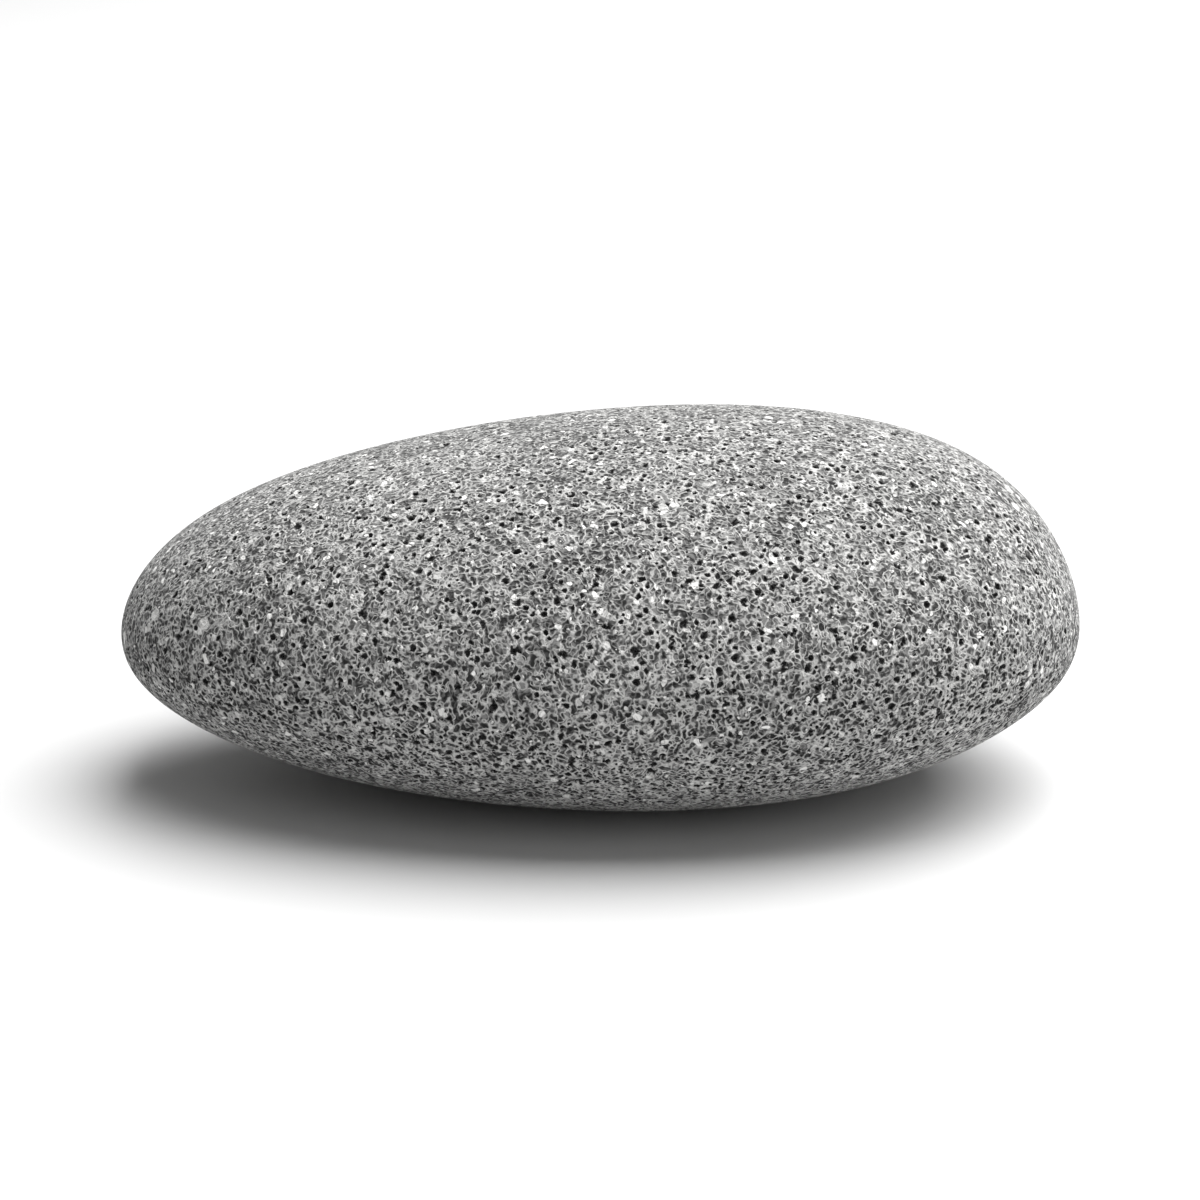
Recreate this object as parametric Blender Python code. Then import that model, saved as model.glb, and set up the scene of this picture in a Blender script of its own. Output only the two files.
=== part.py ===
"""A tumbled lava pebble for a fish tank: one egg-shaped stone, pitted with gas bubbles all over,
lying on the small flat that its underside is worn to. Metres, +Z up, long axis along X."""

import math
import random

import bmesh
import bpy
from mathutils import Euler, Vector
from mathutils.geometry import delaunay_2d_cdt

# Driving dimensions of the worn outline
LENGTH = 0.110
WIDTH = 0.068
RISE_ABOVE_AXIS = 0.0228
DROP_BELOW_AXIS = 0.0212

# How full the stone is along its length, from the thin end at -1 to the thick end at +1
FULL_MIDDLE = 0.977
FULL_SLOPE = 0.120
FULL_ENDS = 0.095

# What keeps it from being a turned shape
THICK_TIP_DROP = 0.0028
THIN_TIP_DROP = 0.0010
TIP_DROP_POWER = 10
SIDEWAYS_BOW = 0.0016
SWELL = 0.007
SWELL_WAVES = 7
LEAN = math.radians(1.9)  # the thick end rides up a little, as an egg's does

# The worn flat that it lies on
WORN_DEPTH = 0.0007
FLAT_CORNERS = 24

# Burst gas bubbles
PIT_COUNT = 640
PIT_RADIUS_SMALL = 0.00055
PIT_RADIUS_LARGE = 0.00105
PIT_CROWDING = 2.2  # the higher, the fewer of the pits are large
PIT_CUP_RADIUS = 0.00095  # a pit this large has a floor of its own and not just a deepest point
PIT_RIM_SPREAD = 0.22  # how far a rim point strays from a circle, as a share of the radius
PIT_WALL_GAP = 0.0007  # the least stone left between two pits
PIT_DEPTH_SHARE = 1.0  # depth against radius
PIT_FLOOR_SHARE = 0.5  # floor radius against rim radius
PIT_CLEAR_OF_FLAT = 0.0014
PITS_BELOW = 0.35  # how much the pits crowd towards the underside
PITS_THICK_END = 0.25  # and towards the thick end

# Plain surface between the pits
LAND_POINTS = 1100
LAND_JITTER = 0.25
LAND_CLEAR_OF_RIM = 0.0006
LAND_CLEAR_OF_FLAT = 0.0001

SEED = 29
STONE_GREY = (0.270, 0.268, 0.262, 1.0)
STONE_ROUGHNESS = 0.9

HALF = Vector((LENGTH / 2, WIDTH / 2, (RISE_ABOVE_AXIS + DROP_BELOW_AXIS) / 2))
GOLDEN_TURN = math.pi * (3 - math.sqrt(5))


def swell_waves(dice):
    """Long soft waves that turn the egg into a pebble: a direction, a pitch and a phase each."""
    waves = []
    for _ in range(SWELL_WAVES):
        way = Vector([dice.gauss(0, 1) for _ in range(3)]).normalized()
        waves.append((way, dice.uniform(1.5, 4.0), dice.uniform(0, math.tau)))
    return waves


def fullness(along):
    return FULL_MIDDLE + FULL_SLOPE * along + FULL_ENDS * along * along


def half_sizes(u):
    """Half length, half width and half height of the egg where the ball point u lands."""
    full = fullness(u.x)
    return Vector((HALF.x, HALF.y * full, HALF.z * full))


def outward(u):
    size = half_sizes(u)
    return Vector((u.x / size.x, u.y / size.y, u.z / size.z)).normalized()


def worn_point(u, waves):
    """The tumbled surface, with no pits, for a point u of the unit ball."""
    full = fullness(u.x)
    tall = RISE_ABOVE_AXIS if u.z > 0 else DROP_BELOW_AXIS
    point = Vector((HALF.x * u.x, HALF.y * full * u.y, tall * full * u.z))
    rise = sum(math.sin(pitch * way.dot(u) + phase) for way, pitch, phase in waves)
    point *= 1 + SWELL * rise / math.sqrt(SWELL_WAVES)
    point.y += SIDEWAYS_BOW * (u.x * u.x - 1 / 3)
    tip_drop = THICK_TIP_DROP if u.x > 0 else THIN_TIP_DROP
    point.z -= tip_drop * abs(u.x) ** TIP_DROP_POWER
    point.rotate(Euler((0, -LEAN, 0)))
    return point


def ball_points(count, dice, jitter):
    """Points spread evenly over the unit ball along a spiral, each moved a little off its place."""
    spacing = math.sqrt(4 * math.pi / count)
    for i in range(count):
        height = 1 - 2 * (i + 0.5) / count
        around = GOLDEN_TURN * i
        ring = math.sqrt(1 - height * height)
        u = Vector((ring * math.cos(around), ring * math.sin(around), height))
        nudge = Vector([dice.uniform(-1, 1) for _ in range(3)])
        yield (u + spacing * jitter * nudge).normalized()


def beside(u, offset):
    """The ball point that lands the given distance, in metres, from where u lands."""
    size = half_sizes(u)
    step = Vector((offset.x / size.x, offset.y / size.y, offset.z / size.z))
    return (u + step).normalized()


def tangents(u):
    out = outward(u)
    along = (Vector((1, 0, 0)) - out * out.x).normalized()
    return along, out.cross(along)


def flat_rim(waves):
    """The edge of the worn flat: its lowest ball point, its level and its corners."""
    lowest = min(ball_points(4000, random.Random(SEED), 0), key=lambda u: worn_point(u, waves).z)
    level = worn_point(lowest, waves).z + WORN_DEPTH
    side = lowest.orthogonal().normalized()
    front = lowest.cross(side)
    corners = []
    for i in range(FLAT_CORNERS):
        turn = math.tau * i / FLAT_CORNERS
        way = side * math.cos(turn) + front * math.sin(turn)
        near, far = 0.0, 1.0
        for _ in range(30):
            middle = (near + far) / 2
            u = lowest * math.cos(middle) + way * math.sin(middle)
            if worn_point(u, waves).z < level:
                near = middle
            else:
                far = middle
        corners.append(lowest * math.cos(far) + way * math.sin(far))
    return lowest, level, corners


def pit_chance(u):
    """How likely a pit is at u: the area that u stands for, and where the lava was frothiest."""
    size = half_sizes(u)
    area = Vector((size.y * size.z * u.x, size.x * size.z * u.y, size.x * size.y * u.z)).length
    share = area / (HALF.x * HALF.y * 1.1)
    return share * (1 - PITS_BELOW * (1 + u.z) / 2 - PITS_THICK_END * (1 - u.x) / 2)


def pits(dice, waves, level):
    """Each pit as its ball point, its place on the stone and its radius, largest first."""
    found = []
    for i in range(PIT_COUNT):
        share = 1 - i / PIT_COUNT
        radius = PIT_RADIUS_SMALL + (PIT_RADIUS_LARGE - PIT_RADIUS_SMALL) * share**PIT_CROWDING
        while True:
            u = Vector([dice.gauss(0, 1) for _ in range(3)]).normalized()
            if dice.random() > pit_chance(u):
                continue
            place = worn_point(u, waves)
            if place.z < level + PIT_CLEAR_OF_FLAT:
                continue
            if all((place - p).length > radius + r + PIT_WALL_GAP for _, p, r in found):
                break
        found.append((u, place, radius))
    return found


def ring(u, radius, corners, dice):
    """An uneven ring of ball points around u."""
    along, across = tangents(u)
    start = dice.uniform(0, math.tau)
    stretch = dice.uniform(1.0, 1.35)
    slant = dice.uniform(0, math.pi)
    for i in range(corners):
        turn = start + math.tau * i / corners
        reach = radius * (1 + PIT_RIM_SPREAD * dice.uniform(-1, 0.6))
        reach *= math.hypot(stretch * math.cos(turn - slant), math.sin(turn - slant)) / stretch
        yield beside(u, reach * (math.cos(turn) * along + math.sin(turn) * across))


def closed_net(ball, lowest):
    """Triangles that join points of the ball into one closed skin, but for the worn flat.

    The ball is seen from its lowest point, which spreads it out as a disc with the flat outside."""
    upright = lowest.rotation_difference(Vector((0, 0, -1)))
    disc = []
    for u in ball:
        v = upright @ u
        disc.append(Vector((v.x, v.y)) / (1 + v.z))
    return delaunay_2d_cdt(disc, [], [], 0, 1e-9)


def pebble_mesh():
    dice = random.Random(SEED)
    waves = swell_waves(dice)
    lowest, level, corners = flat_rim(waves)
    bubbles = pits(dice, waves, level)
    ball = list(corners)
    sunk = {}
    for u, _, radius in bubbles:
        cup = radius > PIT_CUP_RADIUS
        depth = radius * PIT_DEPTH_SHARE * dice.uniform(0.8, 1.15)
        inward = -outward(u)
        inward.rotate(Euler((0, -LEAN, 0)))
        ball += ring(u, radius, 7 if cup else 5, dice)
        floor = list(ring(u, radius * PIT_FLOOR_SHARE, 3, dice)) if cup else [u]
        for v in floor:
            sunk[len(ball)] = depth * inward
            ball.append(v)
    for u in ball_points(LAND_POINTS, dice, LAND_JITTER):
        p = worn_point(u, waves)
        clear = all((p - centre).length > r + LAND_CLEAR_OF_RIM for _, centre, r in bubbles)
        if clear and p.z > level + LAND_CLEAR_OF_FLAT:
            ball.append(u)
    _, _, faces, came_from, _, _ = closed_net(ball, lowest)
    mesh = bmesh.new()
    verts = [mesh.verts.new(worn_point(ball[origins[0]], waves)) for origins in came_from]
    for face in faces:
        mesh.faces.new([verts[i] for i in face])
    bmesh.ops.beautify_fill(mesh, faces=mesh.faces[:], edges=mesh.edges[:], method="AREA")
    for vert, origins in zip(verts, came_from):
        if origins[0] < FLAT_CORNERS:
            vert.co.z = level
        vert.co += sunk.get(origins[0], Vector())
    open_edges = [e for e in mesh.edges if e.is_boundary]
    bmesh.ops.contextual_create(mesh, geom=open_edges)
    bmesh.ops.recalc_face_normals(mesh, faces=mesh.faces)
    return mesh


def stand_on_origin(mesh):
    """Moves the mesh so that its box is centred over the origin and its flat lies at height 0."""
    xs, ys, zs = zip(*(v.co for v in mesh.verts))
    middle = Vector(((min(xs) + max(xs)) / 2, (min(ys) + max(ys)) / 2, min(zs)))
    for v in mesh.verts:
        v.co -= middle


def stone_material():
    material = bpy.data.materials.new("porous_lava")
    material.use_nodes = True
    shader = material.node_tree.nodes["Principled BSDF"]
    shader.inputs["Base Color"].default_value = STONE_GREY
    shader.inputs["Roughness"].default_value = STONE_ROUGHNESS
    shader.inputs["Metallic"].default_value = 0.0
    return material


def make_stone():
    mesh = pebble_mesh()
    stand_on_origin(mesh)
    data = bpy.data.meshes.new("stone")
    mesh.to_mesh(data)
    mesh.free()
    data.shade_smooth()
    data.set_sharp_from_angle(angle=math.radians(35))
    data.materials.append(stone_material())
    stone = bpy.data.objects.new("stone", data)
    bpy.context.scene.collection.objects.link(stone)
    return stone


for old in list(bpy.data.objects):
    bpy.data.objects.remove(old, do_unlink=True)
make_stone()
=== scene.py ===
# %% [markdown]
# # A tumbled lava pebble
# This lesson makes one rock for a fish tank: a pebble of porous lava, tumbled until its outline is smooth,
# while its skin stays full of burst gas bubbles. The solid of the stone comes from a measured model. Here
# it gets the fine surface that makes it look like lava and not like a plastic egg.
#
# Everything is in metres, and the stone lies on the floor at height 0. Its long axis is X, with the thick
# end at +X, and the viewer stands at -Y.

# %% Load the solid and note its box
import math
import random

import bmesh
import bpy
import numpy as np
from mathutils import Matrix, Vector
from mathutils.geometry import delaunay_2d_cdt
from mathutils.kdtree import KDTree


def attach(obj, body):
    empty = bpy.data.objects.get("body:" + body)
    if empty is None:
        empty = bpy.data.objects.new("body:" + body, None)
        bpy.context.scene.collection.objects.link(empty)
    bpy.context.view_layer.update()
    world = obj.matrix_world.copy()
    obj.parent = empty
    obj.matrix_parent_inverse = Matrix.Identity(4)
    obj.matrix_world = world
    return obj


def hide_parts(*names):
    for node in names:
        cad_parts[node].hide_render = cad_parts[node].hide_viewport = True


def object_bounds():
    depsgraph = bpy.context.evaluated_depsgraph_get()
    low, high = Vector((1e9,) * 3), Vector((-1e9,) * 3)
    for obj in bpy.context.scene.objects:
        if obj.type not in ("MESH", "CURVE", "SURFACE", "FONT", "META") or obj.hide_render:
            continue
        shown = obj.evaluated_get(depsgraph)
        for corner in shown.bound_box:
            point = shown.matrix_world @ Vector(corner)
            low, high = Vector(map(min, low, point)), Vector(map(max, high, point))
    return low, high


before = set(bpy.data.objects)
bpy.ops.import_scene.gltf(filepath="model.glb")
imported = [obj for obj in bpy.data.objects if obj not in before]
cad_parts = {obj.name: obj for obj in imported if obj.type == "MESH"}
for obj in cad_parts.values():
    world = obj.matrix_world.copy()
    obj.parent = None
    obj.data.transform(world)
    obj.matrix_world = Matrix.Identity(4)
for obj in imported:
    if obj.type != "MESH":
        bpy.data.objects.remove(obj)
solid_low, solid_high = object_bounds()
MM = 0.001
print("solid box in mm:", [round(side / MM, 1) for side in solid_high - solid_low])

# %% [markdown]
# ## The camera and the light
# A camera comes first, so that every later step can be judged from the same place. The stone is seen from
# the front and a little above, through a long lens, which keeps an egg shape honest: a short lens would
# swell its middle. The lens looks at the middle of the stone, and the distance follows from how much of the
# frame it should fill.

# %% Place the camera
CAMERA_RISE = math.radians(17)
LENS = 100.0
SENSOR = 36.0
FRAME_SHARE = 0.80

stone_length = solid_high.x - solid_low.x
stone_middle = (solid_low + solid_high) / 2
camera_distance = stone_length / FRAME_SHARE * LENS / SENSOR
camera_data = bpy.data.cameras.new("lens")
camera_data.lens = LENS
camera_data.sensor_width = SENSOR
camera = bpy.data.objects.new("camera", camera_data)
towards_viewer = Vector((0, -math.cos(CAMERA_RISE), math.sin(CAMERA_RISE)))
camera.location = stone_middle + camera_distance * towards_viewer
camera.rotation_euler = (math.pi / 2 - CAMERA_RISE, 0, 0)
bpy.context.scene.collection.objects.link(camera)
bpy.context.scene.camera = camera
print("camera distance in m:", round(camera_distance, 3))

# %% [markdown]
# A studio stone is lit by one wide soft box overhead, so its top is pale, its sides fall away to dark grey,
# and no pit has a hard shadow. The box is wide enough to light the floor far behind the stone too, which
# keeps it white up to the top of the picture. A weak panel in front keeps the near side readable. The floor
# is a plain pale disc.

# %% Hang the lights and lay the floor
SOFT_BOX_SIDE = 1.6
SOFT_BOX_PLACE = Vector((0.68, 0.25, 1.2))
SOFT_BOX_POWER = 57.0
FRONT_PANEL_SIDE = 0.5
FRONT_PANEL_PLACE = Vector((0.55, -0.55, 0.40))
FRONT_PANEL_POWER = 1.2
SURROUND = 0.26
FLOOR_RADIUS = 4.0
FLOOR_CORNERS = 96
FLOOR_WHITE = (0.58, 0.58, 0.58, 1.0)
FLOOR_ROUGHNESS = 0.9
WHITE = (1.0, 1.0, 1.0, 1.0)


def soft_box(name, side, place, power, tilted):
    data = bpy.data.lights.new(name, "AREA")
    data.shape = "SQUARE"
    data.size = side
    data.energy = power
    box = bpy.data.objects.new(name, data)
    box.location = place
    aim = stone_middle - place if tilted else Vector((0, 0, -1))
    box.rotation_euler = aim.to_track_quat("-Z", "Y").to_euler()
    bpy.context.scene.collection.objects.link(box)


def pale_floor():
    mesh = bmesh.new()
    bmesh.ops.create_circle(mesh, cap_ends=True, segments=FLOOR_CORNERS, radius=FLOOR_RADIUS)
    data = bpy.data.meshes.new("floor")
    mesh.to_mesh(data)
    mesh.free()
    material = bpy.data.materials.new("pale_floor")
    material.use_nodes = True
    shader = material.node_tree.nodes["Principled BSDF"]
    shader.inputs["Base Color"].default_value = FLOOR_WHITE
    shader.inputs["Roughness"].default_value = FLOOR_ROUGHNESS
    data.materials.append(material)
    floor = bpy.data.objects.new("floor", data)
    bpy.context.scene.collection.objects.link(floor)
    return floor


pale_floor()
soft_box("overhead_soft_box", SOFT_BOX_SIDE, SOFT_BOX_PLACE, SOFT_BOX_POWER, tilted=False)
soft_box("front_panel", FRONT_PANEL_SIDE, FRONT_PANEL_PLACE, FRONT_PANEL_POWER, tilted=True)
surround = bpy.data.worlds.new("white_surround")
surround.use_nodes = True
sky = surround.node_tree.nodes["Background"]
sky.inputs["Color"].default_value = WHITE
sky.inputs["Strength"].default_value = SURROUND
bpy.context.scene.world = surround
bpy.context.scene.view_settings.view_transform = "Standard"

# %% [markdown]
# ## The worn outline
# A tumbled pebble is close to an egg: a ball stretched three ways, fuller at one end, with soft swells
# where the stone was harder. It could be sculpted, or turned and bent. A formula is better here, because it
# can be asked for the surface at any point of a ball, and that is where the bubbles go later. The values
# are those of the solid, so the fine skin lies on it everywhere.

# %% The egg that the stone was worn to
HALF_LENGTH = 55.0 * MM
HALF_WIDTH = 34.0 * MM
RISE_ABOVE_AXIS = 22.8 * MM
DROP_BELOW_AXIS = 21.2 * MM
HALF_HEIGHT = (RISE_ABOVE_AXIS + DROP_BELOW_AXIS) / 2
FULL_MIDDLE = 0.977
FULL_SLOPE = 0.120
FULL_ENDS = 0.095
THICK_TIP_DROP = 2.8 * MM
THIN_TIP_DROP = 1.0 * MM
TIP_DROP_POWER = 10
SIDEWAYS_BOW = 1.6 * MM
SWELL = 0.007
SWELL_WAVES = 7
SWELL_SLOWEST = 1.5
SWELL_FASTEST = 4.0
LEAN = math.radians(1.9)
SEED = 29
EGG_SAMPLES = 4000


def unit(vectors):
    return vectors / np.linalg.norm(vectors, axis=-1, keepdims=True)


def leaned(points):
    """Turns points or directions by the small lean that brings the thick end up."""
    c, s = math.cos(LEAN), math.sin(LEAN)
    x, y, z = points[..., 0], points[..., 1], points[..., 2]
    return np.stack((x * c - z * s, y, x * s + z * c), axis=-1)


def half_sizes(u):
    """Half length, width and height of the egg where the ball points u land."""
    along = u[..., 0]
    full = FULL_MIDDLE + FULL_SLOPE * along + FULL_ENDS * along**2
    return np.stack((HALF_LENGTH + 0 * along, HALF_WIDTH * full, HALF_HEIGHT * full), axis=-1)


def swell_waves(dice):
    """Each wave's direction, how fast it runs and where it starts."""
    waves = []
    for _ in range(SWELL_WAVES):
        way = unit(np.array([dice.gauss(0, 1) for _ in range(3)]))
        waves.append((way, dice.uniform(SWELL_SLOWEST, SWELL_FASTEST), dice.uniform(0, math.tau)))
    return waves


dice = random.Random(SEED)
waves = swell_waves(dice)


def worn_points(u):
    """The tumbled surface, with no pits, for points u of the unit ball."""
    along, height = u[..., 0], u[..., 2]
    size = half_sizes(u)
    tall = np.where(height > 0, RISE_ABOVE_AXIS, DROP_BELOW_AXIS) / HALF_HEIGHT
    point = size * u
    point[..., 2] *= tall
    rise = sum(np.sin(pitch * (u @ way) + phase) for way, pitch, phase in waves)
    point *= (1 + SWELL * rise / math.sqrt(SWELL_WAVES))[..., None]
    point[..., 1] += SIDEWAYS_BOW * (along**2 - 1 / 3)
    drop = np.where(along > 0, THICK_TIP_DROP, THIN_TIP_DROP)
    point[..., 2] -= drop * np.abs(along) ** TIP_DROP_POWER
    return leaned(point)


def spiral(count):
    """Points spread evenly over the unit ball, along a spiral."""
    i = np.arange(count)
    height = 1 - 2 * (i + 0.5) / count
    around = math.pi * (3 - math.sqrt(5)) * i
    ring = np.sqrt(1 - height**2)
    return np.stack((ring * np.cos(around), ring * np.sin(around), height), axis=-1)


egg_ball = spiral(EGG_SAMPLES)
egg = worn_points(egg_ball)
print("egg box in mm:", np.round((egg.max(axis=0) - egg.min(axis=0)) / MM, 1))

# %% [markdown]
# The stone lies on a small worn flat. Its edge is found by walking from the lowest point outwards in each
# direction until the surface rises past the level of the flat. Halving the walk each time finds that place
# quickly.

# %% The flat that it lies on
WORN_DEPTH = 0.7 * MM
FLAT_CORNERS = 72
HALVINGS = 30

lowest = egg_ball[egg[:, 2].argmin()]
level = egg[:, 2].min() + WORN_DEPTH
side_way = unit(np.cross(lowest, (1.0, 0.0, 0.0)))
front_way = np.cross(lowest, side_way)
turn = np.linspace(0, math.tau, FLAT_CORNERS, endpoint=False)[:, None]
way = side_way * np.cos(turn) + front_way * np.sin(turn)
near, far = np.zeros((FLAT_CORNERS, 1)), np.ones((FLAT_CORNERS, 1))
for _ in range(HALVINGS):
    middle = (near + far) / 2
    below = worn_points(lowest * np.cos(middle) + way * np.sin(middle))[:, 2:] < level
    near, far = np.where(below, middle, near), np.where(below, far, middle)
flat_rim = lowest * np.cos(far) + way * np.sin(far)
print("flat in mm:", np.round(np.ptp(worn_points(flat_rim), axis=0)[:2] / MM, 1))

# %% [markdown]
# ## The burst bubbles
# Lava froths as its gas escapes, and tumbling cuts the bubbles open. The widest ones are already in the
# solid, so they are found again with the same throws of the dice. There they are drawn wide, to show from a
# step away. Here they get their true width.

# %% Find the solid's pits again
PIT_COUNT = 640
PIT_RADIUS_SMALL = 0.55 * MM
PIT_RADIUS_LARGE = 1.05 * MM
PIT_CROWDING = 2.2
PIT_WALL_GAP = 0.7 * MM
PIT_CLEAR_OF_FLAT = 1.4 * MM
PITS_BELOW = 0.35
PITS_THICK_END = 0.25
TRUE_WIDTH = 0.57
AREA_HEADROOM = 1.1


def area_share(u):
    """The area of stone that a ball point stands for, as a share of a little more than the largest."""
    size = half_sizes(u)
    length, width, height = size[..., 0], size[..., 1], size[..., 2]
    sides = np.stack((width * height, length * height, length * width), axis=-1)
    return np.linalg.norm(sides * u, axis=-1) / (HALF_LENGTH * HALF_WIDTH * AREA_HEADROOM)


def froth(u):
    """How frothy the stone is at a ball point: less at the top and at the thin end."""
    return 1 - PITS_BELOW * (1 + u[..., 2]) / 2 - PITS_THICK_END * (1 - u[..., 0]) / 2


def widest_pits():
    """The ball points, the places and the true radii of the solid's pits, from the widest down."""
    ball, place, radius = [], np.empty((0, 3)), np.empty(0)
    for i in range(PIT_COUNT):
        share = 1 - i / PIT_COUNT
        reach = PIT_RADIUS_SMALL + (PIT_RADIUS_LARGE - PIT_RADIUS_SMALL) * share**PIT_CROWDING
        while True:
            u = unit(np.array([dice.gauss(0, 1) for _ in range(3)]))
            if dice.random() > area_share(u) * froth(u):
                continue
            p = worn_points(u)
            if p[2] < level + PIT_CLEAR_OF_FLAT:
                continue
            if np.all(np.linalg.norm(place - p, axis=1) > radius + reach + PIT_WALL_GAP):
                break
        ball.append(u)
        place = np.vstack((place, p))
        radius = np.append(radius, reach)
    return np.array(ball), place, radius * TRUE_WIDTH


wide_ball, wide_place, wide_radius = widest_pits()
print("widest pits:", len(wide_ball), "radii in mm:", np.round(wide_radius[[0, -1]] / MM, 2))

# %% [markdown]
# Between the widest pits lie thousands of finer ones. They are thrown at random and sorted by size, and
# each one is kept if it stands clear of the larger ones, or cuts well into one of them, as bubbles that ran
# together do. A tree of the places quickly answers which ones are near, where comparing every pair would be
# slow.

# %% Fit the finer pits between them
FINE_THROWS = 17000
FINE_RADIUS_SMALL = 0.19 * MM
FINE_RADIUS_LARGE = 0.46 * MM
FINE_CROWDING = 1.2
FINE_WALL = 0.12 * MM
FINE_CLEAR_OF_FLAT = 0.22 * MM
RUN_TOGETHER = 0.75
PATCHES = 0.45
PATCH_PITCH = 9.0
PATCH_WAVES = 6
FINE_CHANCE = 0.9

bulk = np.random.default_rng(SEED)
patch_way = unit(bulk.normal(size=(PATCH_WAVES, 3)))
patch_phase = bulk.uniform(0, math.tau, PATCH_WAVES)


def patchiness(u):
    """Some patches of the stone are frothier than others."""
    return np.sin(PATCH_PITCH * (u @ patch_way.T) + patch_phase).sum(axis=-1) / math.sqrt(PATCH_WAVES)


def finer_pits():
    """The ball points and the radii of the finer pits that found room."""
    ball = unit(bulk.normal(size=(FINE_THROWS, 3)))
    chance = area_share(ball) * froth(ball) * (1 + PATCHES * patchiness(ball)) * FINE_CHANCE
    ball = ball[bulk.random(FINE_THROWS) < chance]
    growth = (FINE_RADIUS_LARGE / FINE_RADIUS_SMALL) ** (bulk.random(len(ball)) ** FINE_CROWDING)
    radius = np.sort(FINE_RADIUS_SMALL * growth)[::-1]
    ball = np.vstack((wide_ball, ball))
    radius = np.append(wide_radius, radius)
    place = worn_points(ball)
    tree = KDTree(len(ball))
    for i, p in enumerate(place.tolist()):
        tree.insert(p, i)
    tree.balance()
    free = np.ones(len(ball), dtype=bool)
    kept = []
    for i, p in enumerate(place.tolist()):
        if not free[i] or p[2] < level + FINE_CLEAR_OF_FLAT:
            continue
        kept.append(i)
        for _, j, distance in tree.find_range(p, 2 * radius[i] + FINE_WALL):
            reach = radius[i] + radius[j]
            run_together = RUN_TOGETHER * radius[i] < distance < RUN_TOGETHER * reach
            if j > i and not run_together and distance < reach + FINE_WALL:
                free[j] = False
    kept = np.array(kept[PIT_COUNT:])
    return ball[kept], radius[kept]


fine_ball, fine_radius = finer_pits()
print("finer pits:", len(fine_ball), "radii in mm:", np.round(fine_radius[[0, -1]] / MM, 2))

# %% [markdown]
# ## From pits to points
# A pit needs few points to read as a hole: an uneven ring for its rim, a smaller ring part of the way down,
# and a deepest point. The more it shows, the more points it gets. The rest of the points are land, the worn
# surface between the pits, and they need only follow the egg.

# %% Rings of points for every pit
RIM_SPREAD = 0.46
MOST_IN = -1.0
MOST_OUT = 0.8
MOST_STRETCH = 2.2
SHALLOWEST = 0.8
DEEPEST = 1.2
MEDIUM_RADIUS = 0.25 * MM


def rings(ball, radius, corners):
    """For each pit, an uneven stretched ring of ball points around it."""
    count = len(ball)
    size = half_sizes(ball)
    out = unit(ball / size)
    along = unit(np.array((1.0, 0.0, 0.0)) - out * out[:, :1])
    across = np.cross(out, along)
    turn = bulk.uniform(0, math.tau, (count, 1)) + math.tau * np.arange(corners) / corners
    stretch = np.sqrt(bulk.uniform(1, MOST_STRETCH, (count, 1)))
    slant = turn - bulk.uniform(0, math.pi, (count, 1))
    reach = radius[:, None] * (1 + RIM_SPREAD * bulk.uniform(MOST_IN, MOST_OUT, (count, corners)))
    reach = reach * np.hypot(stretch * np.cos(slant), np.sin(slant) / stretch)
    offset_along = (reach * np.cos(turn))[..., None] * along[:, None]
    offset_across = (reach * np.sin(turn))[..., None] * across[:, None]
    return unit(ball[:, None] + (offset_along + offset_across) / size[:, None]).reshape(-1, 3)


ball = [flat_rim]
depth = [np.zeros(FLAT_CORNERS)]
hollow = [np.zeros(FLAT_CORNERS)]
rims = []


def points_so_far():
    return sum(len(b) for b in ball)


def add_points(new_ball, new_depth, new_hollow):
    ball.append(new_ball)
    depth.append(new_depth)
    hollow.append(np.full(len(new_ball), new_hollow))


def add_pits(centres, radius, corners, floor=None, bottom=None):
    """Pits with an edge of so many corners. A floor is a ring: its corners, its share of the pit's radius and
    its depth. The bottom is the depth of a deepest point. Depths are shares of the pit's radius."""
    sunk = radius * bulk.uniform(SHALLOWEST, DEEPEST, len(centres))
    start = points_so_far()
    for pit in range(len(centres)):
        edge = start + pit * corners + np.arange(corners)
        rims.extend(zip(edge.tolist(), np.roll(edge, -1).tolist()))
    add_points(rings(centres, radius, corners), np.zeros(len(centres) * corners), 0.0)
    if floor:
        floor_corners, floor_share, floor_depth = floor
        ring = rings(centres, radius * floor_share, floor_corners)
        add_points(ring, np.repeat(sunk * floor_depth, floor_corners), floor_depth)
    if bottom:
        add_points(centres, sunk * bottom, bottom)


medium = fine_radius > MEDIUM_RADIUS
add_pits(wide_ball, wide_radius, corners=10, floor=(5, 0.50, 0.75), bottom=1.15)
add_pits(fine_ball[medium], fine_radius[medium], corners=6, floor=(3, 0.45, 1.0))
add_pits(fine_ball[~medium], fine_radius[~medium], corners=5, bottom=1.1)
print("pits wide, medium, small:", len(wide_ball), medium.sum(), (~medium).sum())
print("points for pits:", points_so_far(), "rim edges:", len(rims))

# %% [markdown]
# The land is a spiral of evenly spread points, each nudged a little so that no pattern shows. A point that
# would land in a pit, or on its rim, is left out. Where two pits ran together, the rim of each is sunk to
# the depth that the other one has there.

# %% Land between the pits
MOST_POINTS = 98500
LAND_CLEAR = 0.16 * MM
LAND_ABOVE_FLAT = 0.03 * MM
LAND_NUDGE = 0.4
LAND_SPARE = 1.25
RIM_REACH = 1.15
SHARED_REACH = 0.8
SHARED_SLOPE = 1.8
SHARED_DEPTH = 0.8
FULLY_HOLLOW = 0.4 * MM

pit_radius = np.append(wide_radius, fine_radius)
pit_tree = KDTree(len(pit_radius))
for i, p in enumerate(worn_points(np.vstack((wide_ball, fine_ball))).tolist()):
    pit_tree.insert(p, i)
pit_tree.balance()
farthest = pit_radius.max() * math.sqrt(MOST_STRETCH) + LAND_CLEAR


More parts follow.
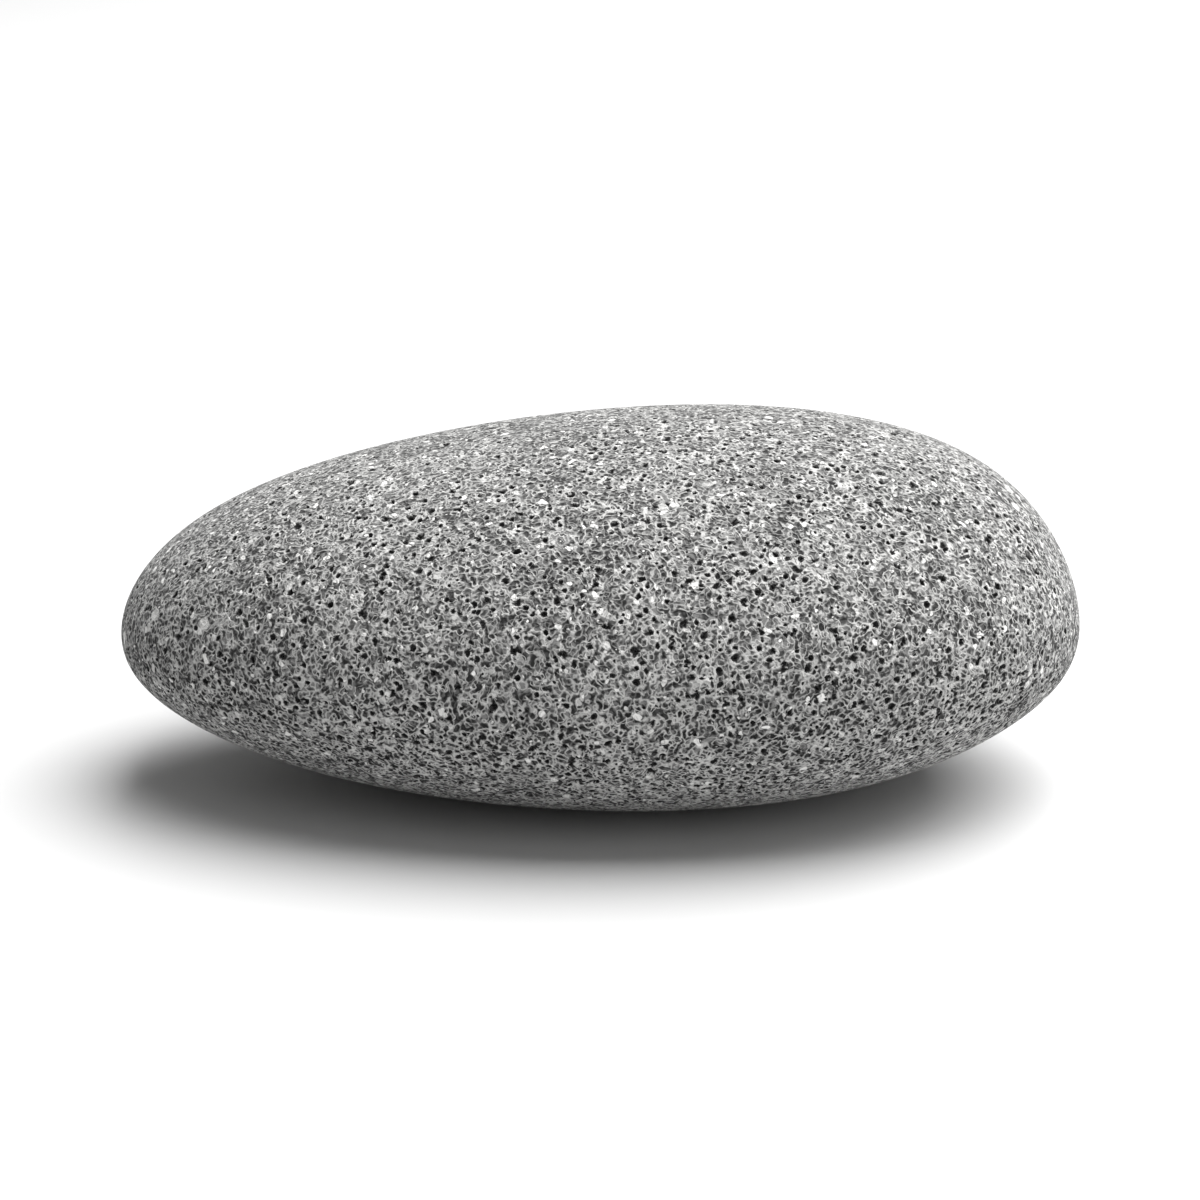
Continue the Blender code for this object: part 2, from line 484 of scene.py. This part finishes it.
def land_points(count):
    """Ball points on the worn surface, clear of every pit and of the flat."""
    spacing = math.sqrt(4 * math.pi / count)
    ball = unit(spiral(count) + bulk.uniform(-1, 1, (count, 3)) * spacing * LAND_NUDGE)
    ball = ball[worn_points(ball)[:, 2] > level + LAND_ABOVE_FLAT]
    clear = []
    for i, p in enumerate(worn_points(ball).tolist()):
        close = pit_tree.find_range(p, farthest)
        if all(distance > pit_radius[j] * RIM_REACH + LAND_CLEAR for _, j, distance in close):
            clear.append(i)
    return ball[clear]


def shared_depths(ball):
    """How deep a neighbour pit is at each rim point that lies inside it."""
    shared = np.zeros(len(ball))
    for i, p in enumerate(worn_points(ball).tolist()):
        for _, j, distance in pit_tree.find_range(p, farthest):
            inside = 1 - distance / (SHARED_REACH * pit_radius[j])
            if inside > 0:
                sunk = pit_radius[j] * min(1.0, SHARED_SLOPE * inside) * SHARED_DEPTH
                shared[i] = max(shared[i], sunk)
    return shared


room = MOST_POINTS - points_so_far()
land = land_points(int(room * LAND_SPARE))
land = land[np.sort(bulk.permutation(len(land))[:room])]
add_points(land, np.zeros(len(land)), 0.0)
ball, depth, hollow = np.concatenate(ball), np.concatenate(depth), np.concatenate(hollow)
rim = np.zeros(len(ball))
rim_points = np.array(rims)[:, 0]
rim[rim_points] = 1.0
sunk = shared_depths(ball[rim_points])
depth[rim_points] = sunk
hollow[rim_points] = np.minimum(1.0, sunk / FULLY_HOLLOW)
rim[rim_points[sunk > 0]] = 0.0
print("land points:", len(land), "all points:", len(ball), "rims in a neighbour pit:", int((sunk > 0).sum()))

# %% [markdown]
# ## One closed skin
# The points must be joined into triangles. A flat set of points has a well-known best net, in which no
# triangle is more of a sliver than it must be. To use it on a ball, the ball is seen from its lowest point,
# which spreads it out as a disc with the worn flat around the outside. The net is then laid on the egg,
# edges that came out skewed by the stretch are turned, and only then are the pits pushed in. The rims are
# fixed edges of the net, or a pit would reach out between its corners. Where two rims cross, the net gets a
# corner of its own.

# %% Join the points, turn skewed edges and push the pits in
MERGE_CLOSER = 2e-5

UPRIGHT = np.array(Vector(lowest).rotation_difference(Vector((0, 0, -1))).to_matrix())


def seen_from_below(u):
    """The ball as a disc, as it looks from its lowest point."""
    v = u @ UPRIGHT.T
    return v[:, :2] / (1 + v[:, 2:])


def back_on_ball(disc):
    """The ball points that are seen at these places of the disc."""
    spread = (disc**2).sum(axis=1, keepdims=True)
    v = np.hstack((2 * disc, 1 - spread)) / (1 + spread)
    return v @ UPRIGHT


def joined():
    """The net's points on the ball, which input each came from, its triangles and its fixed edges."""
    disc = [Vector(p) for p in seen_from_below(ball).tolist()]
    places, edges, triangles, came_from, edge_from, _ = delaunay_2d_cdt(disc, rims, [], 0, MERGE_CLOSER)
    first = np.array([origins[0] if origins else -1 for origins in came_from])
    points = ball[first]
    crossing = first < 0
    met = np.array([tuple(places[i]) for i in np.flatnonzero(crossing)]).reshape(-1, 2)
    points[crossing] = back_on_ball(met)
    fixed = {tuple(sorted(edge)) for edge, origins in zip(edges, edge_from) if origins}
    return points, first, triangles, fixed


def skin(points, first, triangles, fixed):
    """The closed mesh: the net on the egg, with its skewed edges turned and its pits pushed in."""
    surface = worn_points(points)
    inward = -leaned(unit(points / half_sizes(points)))
    mesh = bmesh.new()
    verts = [mesh.verts.new(p) for p in surface.tolist()]
    for triangle in triangles:
        mesh.faces.new([verts[i] for i in triangle])
    mesh.verts.index_update()
    loose = [e for e in mesh.edges if tuple(sorted((e.verts[0].index, e.verts[1].index))) not in fixed]
    bmesh.ops.beautify_fill(mesh, faces=mesh.faces[:], edges=loose, method="AREA")
    pushed = surface + inward * np.where(first < 0, 0, depth[first])[:, None]
    pushed[(first >= 0) & (first < FLAT_CORNERS), 2] = level
    for vert, place in zip(verts, pushed.tolist()):
        vert.co = place
    bmesh.ops.contextual_create(mesh, geom=[e for e in mesh.edges if e.is_boundary])
    bmesh.ops.recalc_face_normals(mesh, faces=mesh.faces)
    data = bpy.data.meshes.new("stone_skin")
    mesh.to_mesh(data)
    mesh.free()
    return data


net_ball, first, triangles, fixed = joined()
stone_data = skin(net_ball, first, triangles, fixed)
print("triangles:", len(stone_data.polygons), "points:", len(stone_data.vertices))
print("corners where rims cross:", int((first < 0).sum()))

# %% [markdown]
# The skin is now set into the box of the solid, so that the two share one size. Each point keeps two marks
# for the material: how deep in a pit it lies, which paints shade into the pits, and whether it is on a rim,
# which paints a highlight on the rims. The surface is shaded smooth except at sharp rims and on the worn
# flat, which stays plain.

# %% Seat the skin on the solid
SHARP_RIM = math.radians(38)

places = np.empty(len(stone_data.vertices) * 3)
stone_data.vertices.foreach_get("co", places)
places = places.reshape(-1, 3)
low, high = places.min(axis=0), places.max(axis=0)
fit = (np.array(solid_high) - np.array(solid_low)) / (high - low)
places = (places - low) * fit + np.array(solid_low)
stone_data.vertices.foreach_set("co", places.ravel())
for name, values, at_crossing in (("hollow", hollow, 0.0), ("rim", rim, 1.0)):
    mark = stone_data.attributes.new(name, "FLOAT", "POINT")
    mark.data.foreach_set("value", np.where(first < 0, at_crossing, values[first]))
stone_data.shade_smooth()
stone_data.set_sharp_from_angle(angle=SHARP_RIM)
flat_face = max(stone_data.polygons, key=lambda face: face.loop_total)
flat_face.use_smooth = False
stone = bpy.data.objects.new("stone_skin", stone_data)
bpy.context.scene.collection.objects.link(stone)
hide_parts("stone")
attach(stone, "root")
print("fit to the solid, per axis:", np.round(fit, 4))

# %% [markdown]
# ## A map for painting
# Some uses need the colours painted on an image that wraps the stone. Blender can lay such a map out by
# itself, but it would cut every pit wall loose. This one has two pieces, the upper and the lower half of
# the ball, each spread out as an oval, so nearly all neighbours stay neighbours.

# %% Lay the map out as two ovals
MAP_MARGIN = 0.97
UPPER_OVAL_AT = 0.75
LOWER_OVAL_AT = 0.25


def lay_map():
    """Gives every corner of the mesh its place on the map."""
    corner = np.empty(len(stone_data.loops), dtype=int)
    stone_data.loops.foreach_get("vertex_index", corner)
    starts = np.empty(len(stone_data.polygons), dtype=int)
    totals = np.empty(len(stone_data.polygons), dtype=int)
    stone_data.polygons.foreach_get("loop_start", starts)
    stone_data.polygons.foreach_get("loop_total", totals)
    u = net_ball[corner]
    height = np.add.reduceat(u[:, 2], starts) / totals
    upper = np.repeat(height > 0, totals)
    sign = np.where(upper, 1, -1)
    fall = np.arccos(np.clip(u[:, 2] * sign, -1, 1)) / (math.pi / 2)
    oval = unit(u[:, :2] + 1e-12) * fall[:, None] * MAP_MARGIN
    across = 0.5 + oval[:, 0] / 2
    up = np.where(upper, UPPER_OVAL_AT, LOWER_OVAL_AT) + oval[:, 1] / 4
    layer = stone_data.uv_layers.new(name="OFBake")
    layer.data.foreach_set("uv", np.stack((across, up), axis=1).ravel())


lay_map()
print("maps:", [m.name for m in stone_data.uv_layers])

# %% [markdown]
# ## The finish
# Close up, the stone is a grey glassy froth. What the eye sees is a medium grey with a strong fine grain,
# thin curled bubble walls that catch the light, near-black holes and a few milky crystals. The froth and
# the crystals are used in several sizes, so each becomes a group of nodes that is built once. The grain is
# a plain noise. All of it is measured in millimetres on the stone itself, so it has its true size whatever
# the camera does.
#
# First come a few helpers. Wiring nodes by hand takes many lines, and with these a mask is one line of
# plain words.

# %% Helpers for wiring nodes
PLAIN_ROUGH = 0.5


def put(tree, kind, **settings):
    node = tree.nodes.new(kind)
    for name, value in settings.items():
        setattr(node, name, value)
    return node


def feed(tree, socket, value):
    """Links a socket to another one, or sets it to a number or colour."""
    if isinstance(value, bpy.types.NodeSocket):
        tree.links.new(value, socket)
    else:
        socket.default_value = value


def calc(tree, operation, *values):
    node = put(tree, "ShaderNodeMath", operation=operation)
    for socket, value in zip(node.inputs, values):
        feed(tree, socket, value)
    return node.outputs[0]


def times(tree, a, b):
    return calc(tree, "MULTIPLY", a, b)


def vector_calc(tree, operation, a, b):
    node = put(tree, "ShaderNodeVectorMath", operation=operation)
    feed(tree, node.inputs[0], a)
    feed(tree, node.inputs["Scale"] if operation == "SCALE" else node.inputs[1], b)
    return node.outputs[0]


def ramp(tree, value, start, end, low=0.0, high=1.0):
    """A soft step: low before start, high after end."""
    node = put(tree, "ShaderNodeMapRange", interpolation_type="SMOOTHSTEP")
    for socket, number in zip(node.inputs, (value, start, end, low, high)):
        feed(tree, socket, number)
    return node.outputs[0]


def noise(tree, where, scale, detail, rough=PLAIN_ROUGH, output="Fac"):
    node = put(tree, "ShaderNodeTexNoise")
    feed(tree, node.inputs["Vector"], where)
    feed(tree, node.inputs["Scale"], scale)
    feed(tree, node.inputs["Detail"], detail)
    feed(tree, node.inputs["Roughness"], rough)
    return node.outputs[output]


def blend_colour(tree, share, below, above):
    node = put(tree, "ShaderNodeMix", data_type="RGBA")
    feed(tree, node.inputs["Factor"], share)
    feed(tree, node.inputs["A"], below)
    feed(tree, node.inputs["B"], above)
    return node.outputs["Result"]


def new_group(name, takes, gives):
    """An empty node group with named number and vector inputs and number outputs."""
    tree = bpy.data.node_groups.new(name, "ShaderNodeTree")
    for title, start in takes.items():
        kind = "NodeSocketVector" if start is None else "NodeSocketFloat"
        socket = tree.interface.new_socket(title, in_out="INPUT", socket_type=kind)
        if start is not None:
            socket.default_value = start
    for title in gives:
        tree.interface.new_socket(title, in_out="OUTPUT", socket_type="NodeSocketFloat")
    return tree, put(tree, "NodeGroupInput").outputs, put(tree, "NodeGroupOutput").inputs


def use_group(tree, group, **values):
    node = put(tree, "ShaderNodeGroup", node_tree=group)
    for name, value in values.items():
        feed(tree, node.inputs[name], value)
    return node.outputs


def input_names(group):
    return [item.name for item in group.interface.items_tree if item.in_out == "INPUT"]


print("helpers ready")

# %% [markdown]
# Under the eye, froth is a tangle of thin walls, pale where they catch the light, that curl around hollows,
# and only some of the hollows are deep. One cloudy noise gives such walls: they are the places where it is
# near its middle value, so they curl and close on themselves as contour lines do. A second, slower noise
# says where the hollows between them are deep. Later the walls get a painted highlight and the deep hollows
# painted shade.

# %% Group: froth
NOISE_MIDDLE = 0.5
CLOUD_DETAIL = 0.6
SLOWER = 0.7
SLOW_NOISE_OFFSET = (31.0, 57.0, 23.0)
WALL_CREST = 0.2
HOLLOW_STARTS = 0.9
HOLLOW_FULL = 1.8
WALL_RISE = 0.4


def froth_tangle():
    """Masks of the deep holes and the walls, for painted shade and a painted highlight, and the height of
    both together.
    """
    takes = {"Place": None, "Per mm": 1.5, "Wall": 0.08, "Deep from": 0.5, "Deep to": 0.6}
    tree, take, give = new_group("froth", takes, ("Hole", "Edge", "Rise"))
    wall = take["Wall"]
    cloud = noise(tree, take["Place"], take["Per mm"], CLOUD_DETAIL)
    off_wall = calc(tree, "ABSOLUTE", calc(tree, "SUBTRACT", cloud, NOISE_MIDDLE))
    edge = ramp(tree, off_wall, times(tree, wall, WALL_CREST), wall, 1.0, 0.0)
    hollow = ramp(tree, off_wall, times(tree, wall, HOLLOW_STARTS), times(tree, wall, HOLLOW_FULL))
    slow_place = vector_calc(tree, "ADD", take["Place"], SLOW_NOISE_OFFSET)
    slow = noise(tree, slow_place, times(tree, take["Per mm"], SLOWER), 0.0)
    hole = times(tree, hollow, ramp(tree, slow, take["Deep from"], take["Deep to"]))
    feed(tree, give["Hole"], hole)
    feed(tree, give["Edge"], edge)
    feed(tree, give["Rise"], calc(tree, "SUBTRACT", times(tree, edge, WALL_RISE), hole))
    return tree


FROTH = froth_tangle()
print("inputs:", input_names(FROTH))

# %% [markdown]
# Crystals of feldspar are milky specks, some whiter than others. They could be single small meshes set into
# the stone, but there are thousands. A cell pattern gives one speck in most cells, and a shake of its
# places makes their outlines uneven.

# %% Group: crystals
SHAKE_PER_MM = 1.2
SHAKE_DETAIL = 0.5
SHAKE_WIDTH = 1.0
CRYSTAL_SMALLEST = 0.45
CRYSTAL_LARGEST = 1.45
CRYSTAL_EDGE = 0.75
LEAST_MILKY = 0.35


def crystals():
    """A mask of crystals, each with a size and a milkiness of its own."""
    takes = {"Place": None, "Per mm": 0.68, "Share": 0.75, "Reach": 0.22}
    tree, take, give = new_group("crystals", takes, ("Speck",))
    shake = noise(tree, take["Place"], SHAKE_PER_MM, SHAKE_DETAIL, output="Color")
    shake = vector_calc(tree, "SUBTRACT", shake, (NOISE_MIDDLE,) * 3)
    shake = vector_calc(tree, "SCALE", shake, SHAKE_WIDTH)
    cells = put(tree, "ShaderNodeTexVoronoi")
    feed(tree, cells.inputs["Vector"], vector_calc(tree, "ADD", take["Place"], shake))
    feed(tree, cells.inputs["Scale"], take["Per mm"])
    luck = put(tree, "ShaderNodeSeparateColor")
    feed(tree, luck.inputs[0], cells.outputs["Color"])
    chosen = calc(tree, "LESS_THAN", luck.outputs[1], take["Share"])
    growth = ramp(tree, luck.outputs[2], 0.0, 1.0, CRYSTAL_SMALLEST, CRYSTAL_LARGEST)
    reach = times(tree, take["Reach"], growth)
    speck = ramp(tree, cells.outputs["Distance"], times(tree, reach, CRYSTAL_EDGE), reach, 1.0, 0.0)
    milky = ramp(tree, luck.outputs[0], 0.0, 1.0, LEAST_MILKY, 1.0)
    feed(tree, give["Speck"], times(tree, times(tree, speck, chosen), milky))
    return tree


CRYSTALS = crystals()
print("inputs:", input_names(CRYSTALS))

# %% [markdown]
# ## The lava's masks
# Every mask of the lava is made from its place on the stone or from the marks of the mesh. Fine froth fills
# the ground and coarse froth lies over it. Its holes get painted shade and its walls a painted highlight.
# Light from above reaches into the holes of the upper side, so the painted shade and highlight stand out
# less there, and the masks grow weaker with height. They also differ from patch to patch. Only some
# stretches of the coarse walls get the painted highlight, which shows as short curled strokes. The painted
# shade at the edge of each mesh pit is made ragged by the grain, or it would look cut with a knife.

# %% Make the masks
CLOUDY_ROUGH = 0.6
GRAIN_PER_MM, GRAIN_DETAIL = 1.9, 0.4
MOTTLE_PER_MM, MOTTLE_DETAIL = 0.35, 3.0
PATCH_PER_MM, PATCH_DETAIL = 0.07, 1.0
FAR_OFF = (90.0, 40.0, 70.0)
COARSE_FROTH = {"Per mm": 1.3, "Wall": 0.07, "Deep from": 0.54, "Deep to": 0.59}
FINE_FROTH = {"Per mm": 1.5, "Wall": 0.085, "Deep from": 0.43, "Deep to": 0.53}
SMALL_CRYSTALS = {"Per mm": 1.0, "Share": 0.6, "Reach": 0.20}
LARGE_CRYSTALS = {"Per mm": 0.18, "Share": 0.35, "Reach": 0.12}
STROKES_PER_MM = 0.8
RAGGED = 0.8

# Each of these says where a ramp starts and ends, and what it gives before and after, if that isn't 0 and 1.
# Heights are in mm.
# Painted shade in the mesh pits grows between these hollow marks.
PIT_SHADE_RAMP = (0.15, 0.5)
PIT_IS_THERE = (0.05, 0.2)
# The painted highlight on the pit rims follows these two ramps.
RIM_IS_THERE = (0.45, 0.9)
RIM_ENDS_IN_PIT = (0.03, 0.15, 1.0, 0.0)
# The painted shade of the holes is weaker higher up, where light from above reaches in, and varies with the
# mottle.
HOLE_SHADE_BY_HEIGHT = (12.0, 36.0, 1.0, 0.5)
HOLE_SHADE_BY_MOTTLE = (0.3, 0.6, 0.6, 1.0)
# The painted highlight of the walls is weaker higher up and varies from patch to patch.
WALL_HIGHLIGHT_BY_HEIGHT = (12.0, 36.0, 0.58, 0.42)
WALL_HIGHLIGHT_BY_PATCH = (0.3, 0.7, 0.8, 1.1)
# Which stretches of the coarse walls get the painted highlight.
STROKES_BY_CHANCE = (0.45, 0.62, 0.15, 0.72)


def mesh_mark(tree, name):
    return put(tree, "ShaderNodeAttribute", attribute_name=name).outputs["Fac"]


def all_crystals(tree, place, far_place):
    usual = use_group(tree, CRYSTALS, Place=place)["Speck"]
    small = use_group(tree, CRYSTALS, Place=far_place, **SMALL_CRYSTALS)["Speck"]
    large = use_group(tree, CRYSTALS, Place=far_place, **LARGE_CRYSTALS)["Speck"]
    return calc(tree, "MAXIMUM", calc(tree, "MAXIMUM", usual, small), large)


def lava_masks(tree):
    """Every mask that the lava is mixed from, by name."""
    place = vector_calc(tree, "SCALE", put(tree, "ShaderNodeTexCoord").outputs["Object"], 1 / MM)
    far_place = vector_calc(tree, "ADD", place, FAR_OFF)
    parts = put(tree, "ShaderNodeSeparateXYZ")
    feed(tree, parts.inputs[0], place)
    height = parts.outputs["Z"]
    deep, rim = mesh_mark(tree, "hollow"), mesh_mark(tree, "rim")

    grain = noise(tree, place, GRAIN_PER_MM, GRAIN_DETAIL, CLOUDY_ROUGH)
    mottle = noise(tree, place, MOTTLE_PER_MM, MOTTLE_DETAIL, CLOUDY_ROUGH)
    patch = noise(tree, place, PATCH_PER_MM, PATCH_DETAIL)
    chance = noise(tree, far_place, STROKES_PER_MM, 0.0)
    ragged = times(tree, calc(tree, "SUBTRACT", grain, NOISE_MIDDLE), RAGGED)
    ragged = ramp(tree, calc(tree, "ADD", deep, ragged), *PIT_SHADE_RAMP)
    return {
        "grain": grain,
        "mottle": mottle,
        "patch": patch,
        "coarse": use_group(tree, FROTH, Place=place, **COARSE_FROTH),
        "fine": use_group(tree, FROTH, Place=far_place, **FINE_FROTH),
        "speck": all_crystals(tree, place, far_place),
        # Painted shade in the mesh pits, with a ragged edge.
        "pit": times(tree, ragged, ramp(tree, deep, *PIT_IS_THERE)),
        # Painted highlight on the rims of the mesh pits.
        "rim": times(tree, ramp(tree, rim, *RIM_IS_THERE), ramp(tree, deep, *RIM_ENDS_IN_PIT)),
        # How strong the painted shade in the froth holes is.
        "hole_shade": times(tree, ramp(tree, height, *HOLE_SHADE_BY_HEIGHT), ramp(tree, mottle, *HOLE_SHADE_BY_MOTTLE)),
        # Where the coarse walls get the painted highlight.
        "strokes": ramp(tree, chance, *STROKES_BY_CHANCE),
        # How strong the painted highlight on the fine walls is.
        "wall_highlight": times(tree, ramp(tree, height, *WALL_HIGHLIGHT_BY_HEIGHT), ramp(tree, patch, *WALL_HIGHLIGHT_BY_PATCH)),
    }


print("pitch of the coarse froth in mm:", round(1 / COARSE_FROTH["Per mm"], 2))
print("pitch of the fine froth in mm:", round(1 / FINE_FROTH["Per mm"], 2))

# %% [markdown]
# ## The lava's colour
# The colours are stacked in this order: grey glass with its grain, then a painted highlight on the walls and
# painted shade in the holes, fine ones before coarse ones, then a painted highlight on the pit rims, then
# crystals, and last painted shade in the mesh pits, which is darkest. A real hole is dark because little
# light gets out of it. The froth holes are only relief, so all their darkness is painted shade, and a little
# of that darkness is painted into the mesh pits, since they are shallow.

# %% Stack the colours
DARK_GREY = (0.030, 0.0299, 0.0295, 1.0)
PALE_GREY = (0.182, 0.1813, 0.1786, 1.0)
# Painted highlight: the pale grey painted on walls and pit rims, where they catch the light.
WALL_HIGHLIGHT_GREY = (0.600, 0.5970, 0.5850, 1.0)
CRYSTAL_WHITE = (0.800, 0.794, 0.778, 1.0)
# Painted shade: the near-black painted into the froth holes and the mesh pits.
HOLE_SHADE_BLACK = (0.004, 0.004, 0.004, 1.0)
TONE_RAMP = (0.97, 1.38)
PATCH_TONE = 0.35
# How much painted highlight is laid on the pit rims.
RIM_HIGHLIGHT = 0.6
# How much painted shade is laid into the mesh pits.
PIT_SHADE = 0.95


def lava_colour(tree, mask):
    tone = calc(tree, "ADD", mask["grain"], mask["mottle"])
    tone = calc(tree, "ADD", tone, times(tree, mask["patch"], PATCH_TONE))
    colour = blend_colour(tree, ramp(tree, tone, *TONE_RAMP), DARK_GREY, PALE_GREY)
    layers = (
        # Painted highlight on the fine walls.
        (times(tree, mask["fine"]["Edge"], mask["wall_highlight"]), WALL_HIGHLIGHT_GREY),
        # Painted shade in the fine holes.
        (times(tree, mask["fine"]["Hole"], mask["hole_shade"]), HOLE_SHADE_BLACK),
        # Painted highlight on stretches of the coarse walls.
        (times(tree, mask["coarse"]["Edge"], mask["strokes"]), WALL_HIGHLIGHT_GREY),
        # Painted shade in the coarse holes.
        (times(tree, mask["coarse"]["Hole"], mask["hole_shade"]), HOLE_SHADE_BLACK),
        # Painted highlight on the pit rims.
        (times(tree, mask["rim"], RIM_HIGHLIGHT), WALL_HIGHLIGHT_GREY),
        (mask["speck"], CRYSTAL_WHITE),
        # Painted shade in the mesh pits.
        (times(tree, mask["pit"], PIT_SHADE), HOLE_SHADE_BLACK),
    )
    for share, above in layers:
        colour = blend_colour(tree, share, colour, above)
    return colour


print("palest wall against the darkest ground:", round(WALL_HIGHLIGHT_GREY[0] / DARK_GREY[0]), "to 1")

# %% [markdown]
# ## The lava's relief and gloss
# The same masks give the fine relief, so every wall stands up and every hole goes down where its colour
# says. That could be mesh too, but the walls are only a few tenths of a millimetre wide, and the mesh would
# need far more points than a part should have. Worn lava is dull all over, and only the crystals shine a
# little.

# %% Add relief and gloss, and put the lava on the stone
RELIEF = 1.0 * MM
GRAIN_HEIGHT = 0.06
COARSE_HEIGHT = 0.16
FINE_HEIGHT = 0.07
CRYSTAL_HEIGHT = 0.03
ROUGHNESS_BY_CRYSTAL = (0.0, 1.0, 0.88, 0.45)
LAVA_GLOSS = 0.2
LAVA_SHEEN = 0.10


def lava_relief(tree, mask):
    """The surface direction, bent by the relief of all the masks together."""
    height = times(tree, mask["grain"], GRAIN_HEIGHT)
    height = calc(tree, "ADD", height, times(tree, mask["coarse"]["Rise"], COARSE_HEIGHT))
    height = calc(tree, "ADD", height, times(tree, mask["fine"]["Rise"], FINE_HEIGHT))
    height = calc(tree, "ADD", height, times(tree, mask["speck"], CRYSTAL_HEIGHT))
    bump = put(tree, "ShaderNodeBump")
    bump.inputs["Distance"].default_value = RELIEF
    feed(tree, bump.inputs["Height"], height)
    return bump.outputs[0]


def lava():
    material = bpy.data.materials.new("porous_lava")
    material.use_nodes = True
    tree = material.node_tree
    shader = tree.nodes["Principled BSDF"]
    mask = lava_masks(tree)
    feed(tree, shader.inputs["Base Color"], lava_colour(tree, mask))
    feed(tree, shader.inputs["Normal"], lava_relief(tree, mask))
    feed(tree, shader.inputs["Roughness"], ramp(tree, mask["speck"], *ROUGHNESS_BY_CRYSTAL))
    shader.inputs["Metallic"].default_value = 0.0
    shader.inputs["Specular IOR Level"].default_value = LAVA_GLOSS
    shader.inputs["Sheen Weight"].default_value = LAVA_SHEEN
    return material


stone_data.materials.append(lava())
print("material:", stone_data.materials[0].name, "nodes:", len(stone_data.materials[0].node_tree.nodes))
